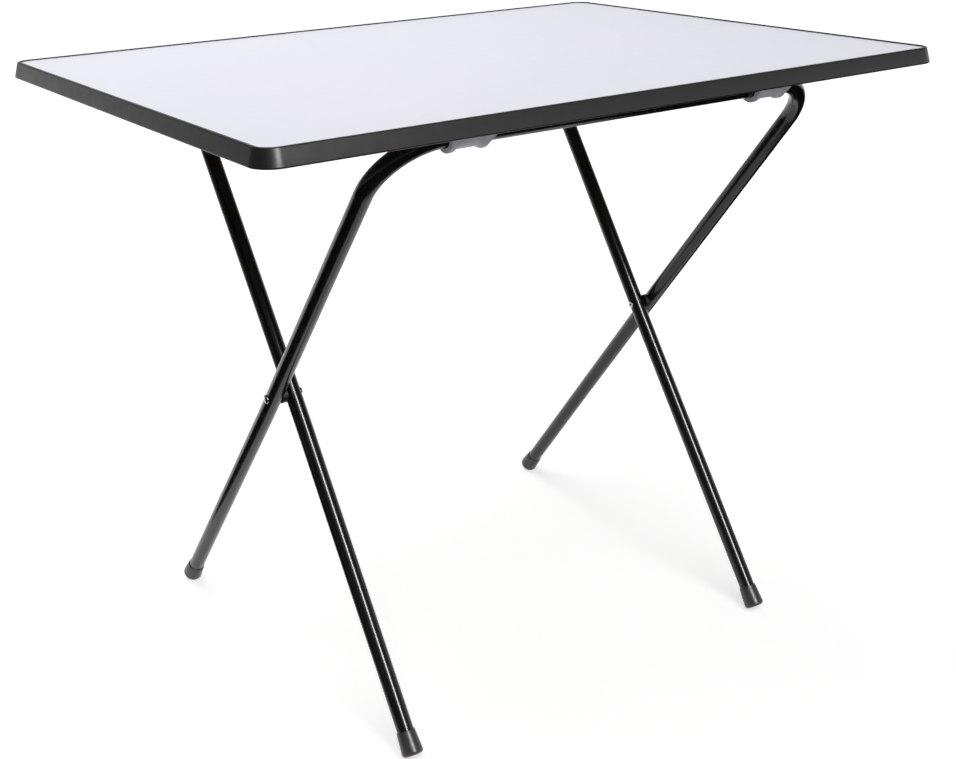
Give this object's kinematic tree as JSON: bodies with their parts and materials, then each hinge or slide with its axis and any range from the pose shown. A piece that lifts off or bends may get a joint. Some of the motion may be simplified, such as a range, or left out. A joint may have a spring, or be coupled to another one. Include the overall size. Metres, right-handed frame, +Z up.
{
  "type": "folding camping table",
  "caption": "Rectangular white camping table with a dark edge moulding on crossing black bent-tube leg frames that fold together under the top.",
  "frame": {"origin": "on the floor, under the middle of the top", "axes": "+X along the long edge of the top, +Y to the back, where the clips are, +Z up"},
  "size_m": [0.808, 0.608, 0.67],
  "materials": {
    "laminate": "smooth semi-gloss white melamine face on a fibreboard core",
    "edge_plastic": "satin dark grey extruded edge moulding",
    "frame_black": "gloss black powder coat on steel tube",
    "cap_plastic": "satin dark grey moulded plastic with a fine grain",
    "bracket_plastic": "satin pale grey moulded plastic",
    "spacer_plastic": "matt black moulded plastic",
    "steel": "bright zinc-plated steel"
  },
  "bodies": {
    "tabletop": {"tabletop_board": "laminate", "edge_moulding": "edge_plastic", "front_left_bracket": "bracket_plastic", "front_right_bracket": "bracket_plastic", "front_left_bracket_screws": "steel", "front_right_bracket_screws": "steel", "rear_left_clip": "bracket_plastic", "rear_right_clip": "bracket_plastic", "rear_left_clip_screws": "steel", "rear_right_clip_screws": "steel"},
    "outer_frame": {"outer_leg_frame": "frame_black", "outer_left_foot_cap": "cap_plastic", "outer_right_foot_cap": "cap_plastic", "left_rivet": "steel", "right_rivet": "steel", "left_spacer": "spacer_plastic", "right_spacer": "spacer_plastic"},
    "inner_frame": {"inner_leg_frame": "frame_black", "inner_left_foot_cap": "cap_plastic", "inner_right_foot_cap": "cap_plastic"}
  },
  "joints": [
    {"name": "outer_fold", "type": "hinge", "parent": "tabletop", "child": "outer_frame", "pos_m": [0, -0.26, 0.6472], "axis": [-1, 0, 0], "range_deg": [0, 39]},
    {"name": "inner_fold", "type": "hinge", "parent": "outer_frame", "child": "inner_frame", "pos_m": [0, -0.00819, 0.33736], "axis": [1, 0, 0], "range_deg": [0, 73.2]}
  ],
  "couplings": [
    {"joint": "inner_fold", "follows": "outer_fold", "ratio": 1.8718}
  ]
}
